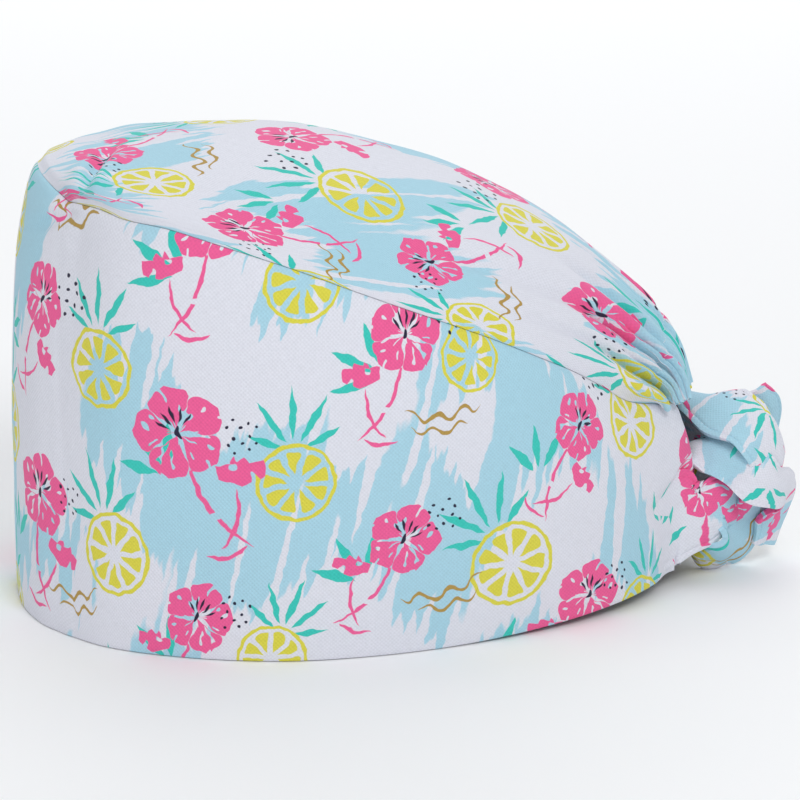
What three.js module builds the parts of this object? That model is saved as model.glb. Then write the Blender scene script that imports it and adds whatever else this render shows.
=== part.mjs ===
// A tie-back surgical scrub cap, as worn: a tall front and side band, a gathered crown sewn to it,
// and two ties knotted behind the head.
// Millimetres, +Z up. The wearer faces -Y, and the wearer's left is +X. The rim stands on Z = 0.
import * as THREE from "three";

// Driving dimensions
const RIM_LENGTH = 198; // front of the rim to its rear ends
const RIM_WIDTH = 144.5;
const FRONT_HEIGHT = 132; // rim to crown seam, at the forehead
const REAR_HEIGHT = 60; // rim to the rear end of the crown seam
const CROWN_PUFF = 29; // greatest rise of the crown above its side seams
const BAND_BELLY = 5.4; // how far the band swells out between rim and seam
const BAND_WALL = 1.8; // two layers of cotton and the seam allowance
const CROWN_WALL = 1.3;
const SEAM_GAP = 0.3;
const SEAM_LIFT = 1.6; // how far the crown rolls up over its seam
const GATHER_FOLDS = 9; // folds that the elastic draws up across the back
const GATHER_DEPTH = 1.5;
const PLEAT_DEPTH = 2.2; // tucks that turn the crown's front corners
const TIE_WIDTH = 31;
const TIE_WALL = 1.8;
const TIE_GAP = 0.9; // between a tie and the band end that it is sewn over, at its edges
const KNOT_BEHIND = 19.6; // knot centre behind the rim's rear end
const KNOT_HEIGHT = 26;
const KNOT_SIZE = 28; // height and depth that the routes through the knot are shares of
const LEFT_ROOT = [0.03, 0.53]; // low and high edge of the sewn end of each tie, in shares of REAR_HEIGHT
const RIGHT_ROOT = [0.05, 0.53];

// Stations run from the forehead, 0, over the crown's front corner, 1, to the rear end of the crown seam, 2,
// and past it round the free rear end of the band.
const CORNER = 1;
const SEAM_END = 2;
const BELLY_FADE = [1.6, 2.2]; // where the band's swell dies away
const BELLY_LEFT = 0.2; // share of the swell that is left behind
const GATHER_FADE = [1.76, 1.99]; // where the gathers deepen towards the hem
const GATHER_POWER = 1.5;
const ROLL_FADE = [1.8, 2]; // where the roll over the seam dies away
const TIE_ROOTS = [2.05, 2.16]; // where a tie is sewn over the band's end

// How the crown's folds begin inside its edges, and how its corner tucks lie
const FRONT_EASE = 0.03; // in stations
const SIDE_EASE = 0.12; // share of the way across
const PLEAT_REACH = 0.22; // share of RIM_LENGTH
const PLEAT_EASE = 0.2; // share of that reach
const PLEAT_BEARING = 0.75; // radians inward from the corner
const PLEAT_SPREAD = 0.28;

// Facets
const BAND_COLUMNS = 64;
const BAND_ROWS = 9;
const CROWN_COLUMNS = 60;
const CROWN_ROWS = 22;
const TIE_STEPS = 4; // between two rows of a tie's table
const TIE_STRIPS = 5; // across a tie
const ROW_POWER = 1.4; // the band's rows stand closer together near the seam
const STEP = 1e-3; // for slopes, in stations and shares

const HALF_WIDTH = RIM_WIDTH / 2;
const FRONT_Y = -RIM_LENGTH / 2;

// The rim. along is a share of RIM_LENGTH, out a share of the half width, up a share of REAR_HEIGHT.
const RIM = [
  { at: 0.0, along: 0.0, out: 0.0, up: 0 },
  { at: 0.25, along: 0.008, out: 0.235, up: 0 },
  { at: 0.5, along: 0.031, out: 0.437, up: 0 },
  { at: 0.75, along: 0.058, out: 0.555, up: 0 },
  { at: 1.0, along: 0.082, out: 0.636, up: 0 },
  { at: 1.1, along: 0.125, out: 0.755, up: 0 },
  { at: 1.2, along: 0.196, out: 0.865, up: 0 },
  { at: 1.3, along: 0.294, out: 0.957, up: 0 },
  { at: 1.4, along: 0.406, out: 1.0, up: 0 },
  { at: 1.5, along: 0.522, out: 0.972, up: 0 },
  { at: 1.58, along: 0.616, out: 0.914, up: 0 },
  { at: 1.66, along: 0.712, out: 0.83, up: 0.01 },
  { at: 1.74, along: 0.813, out: 0.713, up: 0.03 },
  { at: 1.82, along: 0.899, out: 0.574, up: 0.055 },
  { at: 1.9, along: 0.957, out: 0.429, up: 0.072 },
  { at: 2.0, along: 0.985, out: 0.313, up: 0.083 },
  { at: 2.1, along: 1.004, out: 0.272, up: 0.088 },
  { at: 2.2, along: 1.019, out: 0.249, up: 0.092 },
];

// The crown seam from the front corner back, then the band's free rear edge.
// up is a share of the seam's fall, from 1 at FRONT_HEIGHT to 0 at REAR_HEIGHT.
const SEAM = [
  { at: 1.0, along: 0.089, out: 0.36, up: 0.932 },
  { at: 1.08, along: 0.132, out: 0.567, up: 0.948 },
  { at: 1.13, along: 0.165, out: 0.699, up: 0.938 },
  { at: 1.2, along: 0.224, out: 0.824, up: 0.928 },
  { at: 1.285, along: 0.312, out: 0.92, up: 0.865 },
  { at: 1.37, along: 0.404, out: 0.969, up: 0.785 },
  { at: 1.45, along: 0.484, out: 0.983, up: 0.7 },
  { at: 1.545, along: 0.581, out: 0.969, up: 0.593 },
  { at: 1.605, along: 0.642, out: 0.934, up: 0.521 },
  { at: 1.657, along: 0.692, out: 0.893, up: 0.457 },
  { at: 1.72, along: 0.752, out: 0.824, up: 0.369 },
  { at: 1.8, along: 0.817, out: 0.72, up: 0.264 },
  { at: 1.856, along: 0.862, out: 0.623, up: 0.172 },
  { at: 1.927, along: 0.911, out: 0.498, up: 0.063 },
  { at: 2.0, along: 0.965, out: 0.346, up: 0.0 },
  { at: 2.1, along: 1.0, out: 0.24, up: -0.04 },
  { at: 2.2, along: 1.018, out: 0.168, up: -0.18 },
];

// The crown's middle line over the same stations. puff is a share of CROWN_PUFF above the side seam,
// and round is the power of the arch across: 2 is a shallow curve, 1 a half ellipse.
const CROWN = [
  { at: 1.0, along: 0.048, puff: 0.162, round: 2.0 },
  { at: 1.05, along: 0.073, puff: 0.172, round: 2.0 },
  { at: 1.1, along: 0.108, puff: 0.224, round: 2.0 },
  { at: 1.2, along: 0.189, puff: 0.328, round: 2.0 },
  { at: 1.285, along: 0.28, puff: 0.54, round: 1.7 },
  { at: 1.37, along: 0.381, puff: 0.75, round: 1.5 },
  { at: 1.45, along: 0.477, puff: 0.885, round: 1.4 },
  { at: 1.545, along: 0.588, puff: 0.94, round: 1.3 },
  { at: 1.605, along: 0.664, puff: 0.96, round: 1.25 },
  { at: 1.657, along: 0.722, puff: 0.945, round: 1.2 },
  { at: 1.72, along: 0.785, puff: 0.94, round: 1.15 },
  { at: 1.8, along: 0.852, puff: 0.89, round: 1.1 },
  { at: 1.856, along: 0.9, puff: 0.82, round: 1.05 },
  { at: 1.927, along: 0.96, puff: 0.685, round: 1.0 },
  { at: 1.954, along: 0.988, puff: 0.54, round: 1.0 },
  { at: 1.981, along: 1.014, puff: 0.3, round: 1.0 },
  { at: 2.0, along: 1.03, puff: -0.06, round: 1.0 },
];

// Where each tie runs, in shares of KNOT_SIZE from the knot's centre: across to the wearer's left,
// out behind the head, and up. face is the way its outer side looks, and width a share of TIE_WIDTH.
// The left tie runs straight through the knot and ends in a tab that stands up on the right.
const LEFT_ROUTE = [
  { across: 0.58, out: -0.38, up: -0.21, face: [0.88, 0.47, 0.05], width: 0.76, bow: 0.03 },
  { across: 0.49, out: -0.18, up: -0.14, face: [0.93, 0.36, 0.1], width: 0.68, bow: 0.06 },
  { across: 0.39, out: 0.0, up: -0.01, face: [0.8, 0.6, 0.05], width: 0.42, bow: 0.1 },
  { across: 0.14, out: 0.12, up: 0.0, face: [0.4, 0.92, 0], width: 0.34, bow: 0.16 },
  { across: -0.15, out: 0.18, up: 0.06, face: [0.3, 0.95, -0.1], width: 0.34, bow: 0.16 },
  { across: -0.38, out: 0.32, up: 0.24, face: [0.5, 0.85, -0.2], width: 0.4, bow: 0.15 },
  { across: -0.44, out: 0.42, up: 0.48, face: [0.9, 0.4, 0], width: 0.48, bow: 0.08 },
  { across: -0.44, out: 0.41, up: 0.72, face: [0.97, 0.2, 0], width: 0.48, bow: 0.05 },
  { across: -0.43, out: 0.32, up: 0.91, face: [0.97, 0.1, 0], width: 0.34, bow: 0.03 },
];
// The right tie passes over the top, down outside, back under the left tie and up inside it,
// and comes out over the left tie and its own first turn.
const RIGHT_ROUTE = [
  { across: -0.55, out: -0.36, up: 0.02, face: [-0.8, 0.6, 0.0], width: 0.88, bow: 0.03 },
  { across: -0.48, out: -0.22, up: 0.42, face: [-0.75, 0.6, 0.25], width: 0.76, bow: 0.05 },
  { across: -0.34, out: -0.2, up: 0.84, face: [-0.45, 0.4, 0.8], width: 0.7, bow: 0.06 },
  { across: -0.1, out: -0.18, up: 0.98, face: [0.2, 0.2, 0.95], width: 0.7, bow: 0.08 },
  { across: 0.16, out: 0.0, up: 0.9, face: [0.55, 0.3, 0.78], width: 0.66, bow: 0.1 },
  { across: 0.3, out: 0.22, up: 0.66, face: [0.6, 0.6, 0.52], width: 0.56, bow: 0.12 },
  { across: 0.29, out: 0.38, up: 0.3, face: [0.5, 0.85, 0.2], width: 0.46, bow: 0.14 },
  { across: 0.18, out: 0.4, up: -0.06, face: [0.5, 0.85, -0.1], width: 0.42, bow: 0.14 },
  { across: 0.16, out: 0.29, up: -0.35, face: [0.7, 0.7, -0.15], width: 0.42, bow: 0.12 },
  { across: 0.18, out: 0.08, up: -0.56, face: [0.92, 0.35, -0.1], width: 0.44, bow: 0.08 },
  { across: 0.24, out: -0.14, up: -0.66, face: [0.98, 0.05, -0.15], width: 0.5, bow: 0.06 },
  { across: 0.2, out: -0.37, up: -0.7, face: [0.75, -0.55, -0.3], width: 0.43, bow: 0.08 },
  { across: 0.02, out: -0.46, up: -0.54, face: [-0.1, -0.98, -0.2], width: 0.4, bow: 0.1 },
  { across: -0.04, out: -0.48, up: -0.22, face: [-0.2, -0.98, 0.0], width: 0.34, bow: 0.12 },
  { across: 0.0, out: -0.48, up: 0.12, face: [-0.3, -0.95, 0.1], width: 0.36, bow: 0.12 },
  { across: 0.1, out: -0.42, up: 0.4, face: [-0.3, -0.85, 0.4], width: 0.36, bow: 0.1 },
  { across: 0.34, out: -0.33, up: 0.59, face: [0.2, -0.4, 0.9], width: 0.38, bow: 0.06 },
  { across: 0.6, out: -0.19, up: 0.55, face: [0.72, -0.15, 0.66], width: 0.5, bow: 0.05 },
  { across: 0.72, out: -0.02, up: 0.36, face: [0.97, 0.0, 0.25], width: 0.62, bow: 0.05 },
  { across: 0.7, out: 0.17, up: 0.16, face: [0.95, 0.25, 0.15], width: 0.64, bow: 0.06 },
  { across: 0.55, out: 0.4, up: 0.0, face: [0.8, 0.6, 0.1], width: 0.6, bow: 0.08 },
  { across: 0.31, out: 0.61, up: -0.12, face: [0.5, 0.85, 0.05], width: 0.56, bow: 0.1 },
  { across: 0.06, out: 0.68, up: -0.28, face: [0.2, 0.95, -0.1], width: 0.5, bow: 0.1 },
  { across: -0.08, out: 0.6, up: -0.5, face: [0.3, 0.75, -0.55], width: 0.46, bow: 0.1 },
  { across: -0.08, out: 0.43, up: -0.72, face: [0.5, 0.5, -0.7], width: 0.4, bow: 0.08 },
];

/** The value of a table's column at a station, on a smooth curve through its rows. */
function along(table, column, at) {
  const last = table.length - 1;
  let i = 0;
  while (i < last - 1 && at > table[i + 1].at) i += 1;
  const slope = (k) => {
    const a = table[Math.max(k - 1, 0)];
    const b = table[Math.min(k + 1, last)];
    return (b[column] - a[column]) / (b.at - a.at);
  };
  const [a, b] = [table[i], table[i + 1]];
  const span = b.at - a.at;
  const t = (at - a.at) / span;
  const [t2, t3] = [t * t, t * t * t];
  return (
    a[column] * (2 * t3 - 3 * t2 + 1) +
    b[column] * (3 * t2 - 2 * t3) +
    span * slope(i) * (t3 - 2 * t2 + t) +
    span * slope(i + 1) * (t3 - t2)
  );
}

const smooth = THREE.MathUtils.smoothstep;
const lerp = THREE.MathUtils.lerp;

/** A point of the rim's outer edge. */
function rimPoint(at) {
  return new THREE.Vector3(
    HALF_WIDTH * along(RIM, "out", at),
    FRONT_Y + RIM_LENGTH * along(RIM, "along", at),
    REAR_HEIGHT * Math.max(along(RIM, "up", at), 0),
  );
}

/** A point of the crown seam beside the head, or of the band's free rear edge. */
function seamPoint(at) {
  return new THREE.Vector3(
    HALF_WIDTH * along(SEAM, "out", at),
    FRONT_Y + RIM_LENGTH * along(SEAM, "along", at),
    lerp(REAR_HEIGHT, FRONT_HEIGHT, along(SEAM, "up", at)),
  );
}

/** The crown without its folds. across runs from -1 at the right seam to 1 at the left one. */
function crownBase(across, at) {
  const seam = seamPoint(at);
  const angle = (across * Math.PI) / 2;
  const arch = Math.max(Math.cos(angle), 0) ** along(CROWN, "round", at);
  const ridgeY = FRONT_Y + RIM_LENGTH * along(CROWN, "along", at);
  return new THREE.Vector3(
    seam.x * Math.sin(angle),
    lerp(seam.y, ridgeY, arch),
    seam.z + CROWN_PUFF * along(CROWN, "puff", at) * arch,
  );
}

/** The band without its folds. side is 1 on the wearer's left, and up runs from 0 at the rim to 1. */
function bandBase(station, up) {
  const side = station < 0 ? -1 : 1;
  const at = Math.abs(station);
  const rim = rimPoint(at);
  const top = at < CORNER ? crownBase(at, CORNER) : seamPoint(at);
  const outward = new THREE.Vector3(rim.x / HALF_WIDTH, (2 * rim.y) / RIM_LENGTH, 0).normalize();
  const kept = lerp(1, BELLY_LEFT, smooth(at, ...BELLY_FADE));
  const swell = BAND_BELLY * Math.sqrt(Math.sin(Math.PI * up ** 2)) * kept;
  const point = rim.lerp(top, up).addScaledVector(outward, swell);
  point.x *= side;
  return point;
}

/** The outward unit normal of a surface at (u, v), by small steps that stay inside its edges. */
function normalOf(surface, u, v, [u0, u1], [v0, v1]) {
  const du = surface(Math.min(u + STEP, u1), v).sub(surface(Math.max(u - STEP, u0), v));
  const dv = surface(u, Math.min(v + STEP, v1)).sub(surface(u, Math.max(v - STEP, v0)));
  return du.cross(dv).normalize();
}

/** The depth of the crown's folds: gathers at the elastic, and a tuck at each front corner. */
function crownFold(across, at) {
  const drawn = smooth(at, ...GATHER_FADE) ** GATHER_POWER;
  const folds = Math.cos(across * GATHER_FOLDS * Math.PI);
  const corner = crownBase(Math.sign(across || 1), CORNER);
  const point = crownBase(across, at);
  const reach = corner.distanceTo(point) / (PLEAT_REACH * RIM_LENGTH);
  const bearing = Math.atan2(point.y - corner.y, Math.abs(corner.x) - Math.abs(point.x));
  const fan = Math.exp(-(((bearing - PLEAT_BEARING) / PLEAT_SPREAD) ** 2));
  const tuck = fan * Math.max(1 - reach, 0) * smooth(reach, 0, PLEAT_EASE);
  return GATHER_DEPTH * drawn * folds - PLEAT_DEPTH * tuck;
}

/** A closed solid between two grids of points, its four edges joined. */
function clothWall(outer, inner) {
  const rows = outer.length;
  const columns = outer[0].length;
  const positions = [...outer.flat(), ...inner.flat()].flatMap((p) => [p.x, p.y, p.z]);
  const out = (r, c) => r * columns + c;
  const inn = (r, c) => rows * columns + out(r, c);
  const index = [];
  const quad = (a, b, c, d) => index.push(a, b, c, a, c, d);
  for (let r = 0; r < rows - 1; r += 1) {
    for (let c = 0; c < columns - 1; c += 1) {
      quad(out(r, c), out(r, c + 1), out(r + 1, c + 1), out(r + 1, c));
      index.push(inn(r, c), inn(r + 1, c + 1), inn(r, c + 1));
      index.push(inn(r, c), inn(r + 1, c), inn(r + 1, c + 1));
    }
    quad(out(r, 0), out(r + 1, 0), inn(r + 1, 0), inn(r, 0));
    quad(out(r + 1, columns - 1), out(r, columns - 1), inn(r, columns - 1), inn(r + 1, columns - 1));
  }
  for (let c = 0; c < columns - 1; c += 1) {
    quad(out(0, c + 1), out(0, c), inn(0, c), inn(0, c + 1));
    quad(out(rows - 1, c), out(rows - 1, c + 1), inn(rows - 1, c + 1), inn(rows - 1, c));
  }
  const geometry = new THREE.BufferGeometry();
  geometry.setAttribute("position", new THREE.Float32BufferAttribute(positions, 3));
  geometry.setIndex(index);
  geometry.computeVertexNormals();
  return geometry;
}

/** Even steps from a to b, both ends included. */
function steps(a, b, count) {
  return Array.from({ length: count + 1 }, (_, i) => lerp(a, b, i / count));
}

const END = RIM[RIM.length - 1].at;

/** The front and side band: one tall strip, open at the back of the head. */
function makeBand() {
  const half = steps(0, END, BAND_COLUMNS / 2);
  const stations = [...half.slice(1).map((s) => -s).reverse(), ...half];
  const rows = steps(0, 1, BAND_ROWS).map((t) => 1 - (1 - t) ** ROW_POWER);
  const grid = (depth) =>
    rows.map((up) =>
      stations.map((station) => {
        const normal = normalOf(bandBase, station, up, [-END, END], [0, 1]);
        normal.z = 0;
        return bandBase(station, up).addScaledVector(normal.normalize(), -depth);
      }),
    );
  return clothWall(grid(0), grid(BAND_WALL));
}

/** The crown: one panel sewn to the band at its front and sides, drawn up at the back. */
function makeCrown() {
  const rows = steps(0, 1, CROWN_ROWS).map((t) => lerp(CORNER, SEAM_END, smooth(t, 0, 1)));
  const columns = steps(-1, 1, CROWN_COLUMNS);
  const grid = (depth) =>
    rows.map((at) =>
      columns.map((across) => {
        const normal = normalOf(crownBase, across, at, [-1, 1], [CORNER, SEAM_END]);
        const level = new THREE.Vector3(normal.x, normal.y, 0).normalize();
        const frontEase = smooth(at, CORNER, CORNER + FRONT_EASE);
        const inside = frontEase * smooth(1 - Math.abs(across), 0, SIDE_EASE);
        normal.lerp(level, 1 - inside).normalize();
        const point = crownBase(across, at).addScaledVector(normal, crownFold(across, at) * inside - depth);
        point.z += SEAM_GAP + SEAM_LIFT * inside * (1 - smooth(at, ...ROLL_FADE));
        return point;
      }),
    );
  return clothWall(grid(0), grid(CROWN_WALL));
}

/** One row of a tie as a place, a facing, a half width and a bow, in millimetres. */
function knotRow({ across, out, up, face, width, bow }) {
  const centre = new THREE.Vector3(0, FRONT_Y + RIM_LENGTH + KNOT_BEHIND, KNOT_HEIGHT);
  return {
    place: new THREE.Vector3(across, out, up).multiplyScalar(KNOT_SIZE).add(centre),
    face: new THREE.Vector3(...face).normalize(),
    half: (width * TIE_WIDTH) / 2,
    bow: bow * width * TIE_WIDTH,
  };
}

/** The rows where a tie is sewn over the outside of a band end, between two shares of REAR_HEIGHT. */
function rootRows(side, [low, high]) {
  return TIE_ROOTS.map((at) => {
    const share = REAR_HEIGHT / (seamPoint(at).z - rimPoint(at).z);
    const middle = (share * (low + high)) / 2;
    const normal = normalOf(bandBase, side * at, middle, [-END, END], [0, 1]);
    const edge = (height) => bandBase(side * at, share * height);
    return {
      place: edge((low + high) / 2).addScaledVector(normal, TIE_WALL / 2 + TIE_GAP),
      face: normal,
      half: edge(high).distanceTo(edge(low)) / 2,
      bow: 0,
    };
  });
}

/** A tie: a flat strap that follows its rows, bowed across its width. */
function makeTie(rows) {
  const path = new THREE.CatmullRomCurve3(rows.map((r) => r.place));
  const count = (rows.length - 1) * TIE_STEPS;
  const sections = steps(0, 1, count).map((t) => {
    const i = Math.min(Math.floor(t * (rows.length - 1)), rows.length - 2);
    const f = smooth(t * (rows.length - 1) - i, 0, 1);
    const [a, b] = [rows[i], rows[i + 1]];
    const tangent = path.getTangent(t);
    const face = a.face.clone().lerp(b.face, f);
    face.addScaledVector(tangent, -face.dot(tangent)).normalize();
    const wide = tangent.clone().cross(face).normalize();
    const place = path.getPoint(t);
    return { place, face, wide, half: lerp(a.half, b.half, f), bow: lerp(a.bow, b.bow, f) };
  });
  const grid = (lift) =>
    sections.map(({ place, face, wide, half, bow }) =>
      steps(-1, 1, TIE_STRIPS).map((s) =>
        place
          .clone()
          .addScaledVector(wide, half * s)
          .addScaledVector(face, lift - bow * s * s),
      ),
    );
  return clothWall(grid(TIE_WALL / 2), grid(-TIE_WALL / 2));
}

const BAND_COLOUR = 0xd5e3ec;
const CROWN_COLOUR = 0xcfe2ec;
const TIE_COLOUR = 0xc4e2ee;

/** A named sub-part in its own printed cotton. */
function cloth(name, geometry, color) {
  const material = new THREE.MeshStandardMaterial({ color, roughness: 0.9, metalness: 0 });
  const mesh = new THREE.Mesh(geometry, material);
  mesh.name = name;
  return mesh;
}

const leftRows = [...rootRows(1, LEFT_ROOT), ...LEFT_ROUTE.map(knotRow)];
const rightRows = [...rootRows(-1, RIGHT_ROOT), ...RIGHT_ROUTE.map(knotRow)];

const cap = new THREE.Group();
cap.add(cloth("band", makeBand(), BAND_COLOUR));
cap.add(cloth("crown", makeCrown(), CROWN_COLOUR));
cap.add(cloth("tie_left", makeTie(leftRows), TIE_COLOUR));
cap.add(cloth("tie_right", makeTie(rightRows), TIE_COLOUR));

// The origin is the middle of the cap's footprint, on the surface that it stands on.
const bounds = new THREE.Box3().setFromObject(cap);
cap.position.set(-(bounds.min.x + bounds.max.x) / 2, -(bounds.min.y + bounds.max.y) / 2, 0);

export default cap;
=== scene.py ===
"""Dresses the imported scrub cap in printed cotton.

The cap is four pieces of cloth: a tall band, a gathered crown sewn to it, and two ties knotted behind
the head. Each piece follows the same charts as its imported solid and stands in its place, with the finer
folds, hems and stitches that the solids leave out. Sizes are in millimetres until a mesh is placed.
"""

import logging
import math
from dataclasses import dataclass, field
from enum import Enum
from typing import Sequence, Union

import bmesh
import bpy
from mathutils import Matrix, Vector, noise


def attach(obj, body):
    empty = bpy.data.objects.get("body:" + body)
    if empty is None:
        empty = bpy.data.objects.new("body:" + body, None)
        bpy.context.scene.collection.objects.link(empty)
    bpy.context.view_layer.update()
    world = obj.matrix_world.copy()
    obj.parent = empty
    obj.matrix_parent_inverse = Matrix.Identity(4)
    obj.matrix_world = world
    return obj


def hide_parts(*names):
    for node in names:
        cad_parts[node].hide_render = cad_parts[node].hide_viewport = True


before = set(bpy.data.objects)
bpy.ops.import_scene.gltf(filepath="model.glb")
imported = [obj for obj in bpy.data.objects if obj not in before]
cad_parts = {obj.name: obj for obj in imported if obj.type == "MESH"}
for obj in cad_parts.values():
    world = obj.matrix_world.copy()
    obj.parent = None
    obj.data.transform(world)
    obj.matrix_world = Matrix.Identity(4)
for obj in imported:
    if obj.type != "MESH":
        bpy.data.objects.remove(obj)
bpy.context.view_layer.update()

log = logging.getLogger("scrub_cap")

MM = 0.001
UV_UNIT = 100.0  # millimetres of flat cloth in one unit of a piece's UV map
CAP_MIDDLE = (0.0, -0.00246, 0.056)  # what the camera and the lights look at, in metres

Pair = tuple[float, float]
Triple = tuple[float, float, float]
Colour = tuple[float, float, float, float]
Ridges = Sequence[Triple]  # height, middle and width of each hump in a row
Material = bpy.types.Material
Tree = bpy.types.NodeTree
Socket = bpy.types.NodeSocket
Feed = Union[float, Sequence[float], Socket]


class Side(Enum):
    """The wearer's left or right."""

    LEFT = 1
    RIGHT = -1


class Held(Enum):
    """How a piece of cloth is held."""

    STRETCHED = "stretched"
    GATHERED = "gathered"
    FOLDED = "folded"


class Ink(Enum):
    """The colours of the print, as they look in daylight."""

    GROUND = "E6E7F0"
    WASH = "B0DAEA"
    LEAF = "3FCDBF"
    FRUIT = "E2DA4E"
    GOLD = "B8974F"
    PETAL = "F6649D"
    LINE = "2B2840"

    def linear(self) -> Colour:
        """Returns the colour as linear values for a shader."""
        parts = [int(self.value[i : i + 2], 16) / 255 for i in (0, 2, 4)]
        levels = [p / 12.92 if p <= 0.04045 else ((p + 0.055) / 1.055) ** 2.4 for p in parts]
        return (levels[0], levels[1], levels[2], 1.0)


def lerp(a: float, b: float, t: float) -> float:
    """Returns the value between a and b at the share t."""
    return a + (b - a) * t


def smooth(x: float, low: float, high: float) -> float:
    """Returns a soft step from 0 at low to 1 at high."""
    t = min(max((x - low) / (high - low), 0.0), 1.0)
    return t * t * (3 - 2 * t)


def ridge(turns: float) -> float:
    """Returns a wave from -1 to 1 with round ridges and narrow valleys, one to every two turns."""
    return 2 * abs(math.cos(turns * math.pi / 2)) ** 0.7 - 1


def bump(x: float, middle: float, width: float) -> float:
    """Returns a soft hump of height 1 at middle that has fallen to a third one width away."""
    return math.exp(-(((x - middle) / width) ** 2))


def ridges(x: float, table: Ridges) -> float:
    """Returns the height of a row of soft humps at x."""
    return sum(height * bump(x, middle, width) for height, middle, width in table)


def wander(point: Vector, broad: float, fine: float) -> float:
    """Returns how far cloth strays at a point: broad noise, and half as much fine noise, of these sizes."""
    return noise.noise(point * (1 / broad)) + 0.5 * noise.noise(point * (1 / fine))


def linked(name: str, data: bpy.types.ID) -> bpy.types.Object:
    """Returns a new object of the scene for a mesh, a light or a camera."""
    made = bpy.data.objects.new(name, data)
    bpy.context.scene.collection.objects.link(made)
    return made


def finished(name: str, bm: bmesh.types.BMesh, *materials: Material) -> bpy.types.Object:
    """Puts a shape into the scene and frees its bmesh.

    Args:
        name: the object's name.
        bm: the shape.
        materials: its finishes, in the order of their slots.

    Returns:
        The object.
    """
    mesh = bpy.data.meshes.new(name)
    bm.to_mesh(mesh)
    bm.free()
    for material in materials:
        mesh.materials.append(material)
    return linked(name, mesh)


class Chart:
    """A short table of named columns over rising stations, read on a smooth curve."""

    def __init__(self, columns: str, rows: Sequence[Sequence[float]]) -> None:
        """Keeps the table.

        Args:
            columns: the column names after the station, parted by spaces.
            rows: the station and then one value for each column.
        """
        self.at = [row[0] for row in rows]
        names = columns.split()
        self.values = {name: [row[i + 1] for row in rows] for i, name in enumerate(names)}
        self.known: dict[tuple[str, float], float] = {}

    def read(self, column: str, at: float) -> float:
        """Reads a column at a station.

        Args:
            column: the column's name.
            at: the station.

        Returns:
            The value on the smooth curve through the rows.
        """
        key = (column, at)
        if key not in self.known:
            self.known[key] = self._curve(self.values[column], at)
        return self.known[key]

    def _curve(self, values: Sequence[float], at: float) -> float:
        """Returns the smooth curve's value at a station."""
        last = len(self.at) - 1
        i = 0
        while i < last - 1 and at > self.at[i + 1]:
            i += 1

        def slope(k: int) -> float:
            """Returns the slope at row k, from its two neighbours."""
            a, b = max(k - 1, 0), min(k + 1, last)
            return (values[b] - values[a]) / (self.at[b] - self.at[a])

        span = self.at[i + 1] - self.at[i]
        t = (at - self.at[i]) / span
        t2, t3 = t * t, t * t * t
        ends = values[i] * (2 * t3 - 3 * t2 + 1) + values[i + 1] * (3 * t2 - 2 * t3)
        return ends + span * (slope(i) * (t3 - 2 * t2 + t) + slope(i + 1) * (t3 - t2))


RIM_CHART = Chart(
    "along out up",
    (
        (0.0, 0.0, 0.0, 0),
        (0.25, 0.008, 0.235, 0),
        (0.5, 0.031, 0.437, 0),
        (0.75, 0.058, 0.555, 0),
        (1.0, 0.082, 0.636, 0),
        (1.1, 0.125, 0.755, 0),
        (1.2, 0.196, 0.865, 0),
        (1.3, 0.294, 0.957, 0),
        (1.4, 0.406, 1.0, 0),
        (1.5, 0.522, 0.972, 0),
        (1.58, 0.616, 0.914, 0),
        (1.66, 0.712, 0.83, 0.01),
        (1.74, 0.813, 0.713, 0.03),
        (1.82, 0.899, 0.574, 0.055),
        (1.9, 0.957, 0.429, 0.072),
        (2.0, 0.985, 0.313, 0.083),
        (2.1, 1.004, 0.272, 0.088),
        (2.2, 1.019, 0.249, 0.092),
    ),
)

SEAM_CHART = Chart(
    "along out up",
    (
        (1.0, 0.089, 0.36, 0.932),
        (1.08, 0.132, 0.567, 0.948),
        (1.13, 0.165, 0.699, 0.938),
        (1.2, 0.224, 0.824, 0.928),
        (1.285, 0.312, 0.92, 0.865),
        (1.37, 0.404, 0.969, 0.785),
        (1.45, 0.484, 0.983, 0.7),
        (1.545, 0.581, 0.969, 0.593),
        (1.605, 0.642, 0.934, 0.521),
        (1.657, 0.692, 0.893, 0.457),
        (1.72, 0.752, 0.824, 0.369),
        (1.8, 0.817, 0.72, 0.264),
        (1.856, 0.862, 0.623, 0.172),
        (1.927, 0.911, 0.498, 0.063),
        (2.0, 0.965, 0.346, 0.0),
        (2.1, 1.0, 0.24, -0.04),
        (2.2, 1.018, 0.168, -0.18),
    ),
)

CROWN_CHART = Chart(
    "along puff round",
    (
        (1.0, 0.048, 0.162, 2.0),
        (1.05, 0.073, 0.172, 2.0),
        (1.1, 0.108, 0.224, 2.0),
        (1.2, 0.189, 0.328, 2.0),
        (1.285, 0.28, 0.54, 1.7),
        (1.37, 0.381, 0.75, 1.5),
        (1.45, 0.477, 0.885, 1.4),
        (1.545, 0.588, 0.94, 1.3),
        (1.605, 0.664, 0.96, 1.25),
        (1.657, 0.722, 0.945, 1.2),
        (1.72, 0.785, 0.94, 1.15),
        (1.8, 0.852, 0.89, 1.1),
        (1.856, 0.9, 0.82, 1.05),
        (1.927, 0.96, 0.685, 1.0),
        (1.954, 0.988, 0.54, 1.0),
        (1.981, 1.014, 0.3, 1.0),
        (2.0, 1.03, -0.06, 1.0),
    ),
)


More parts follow.
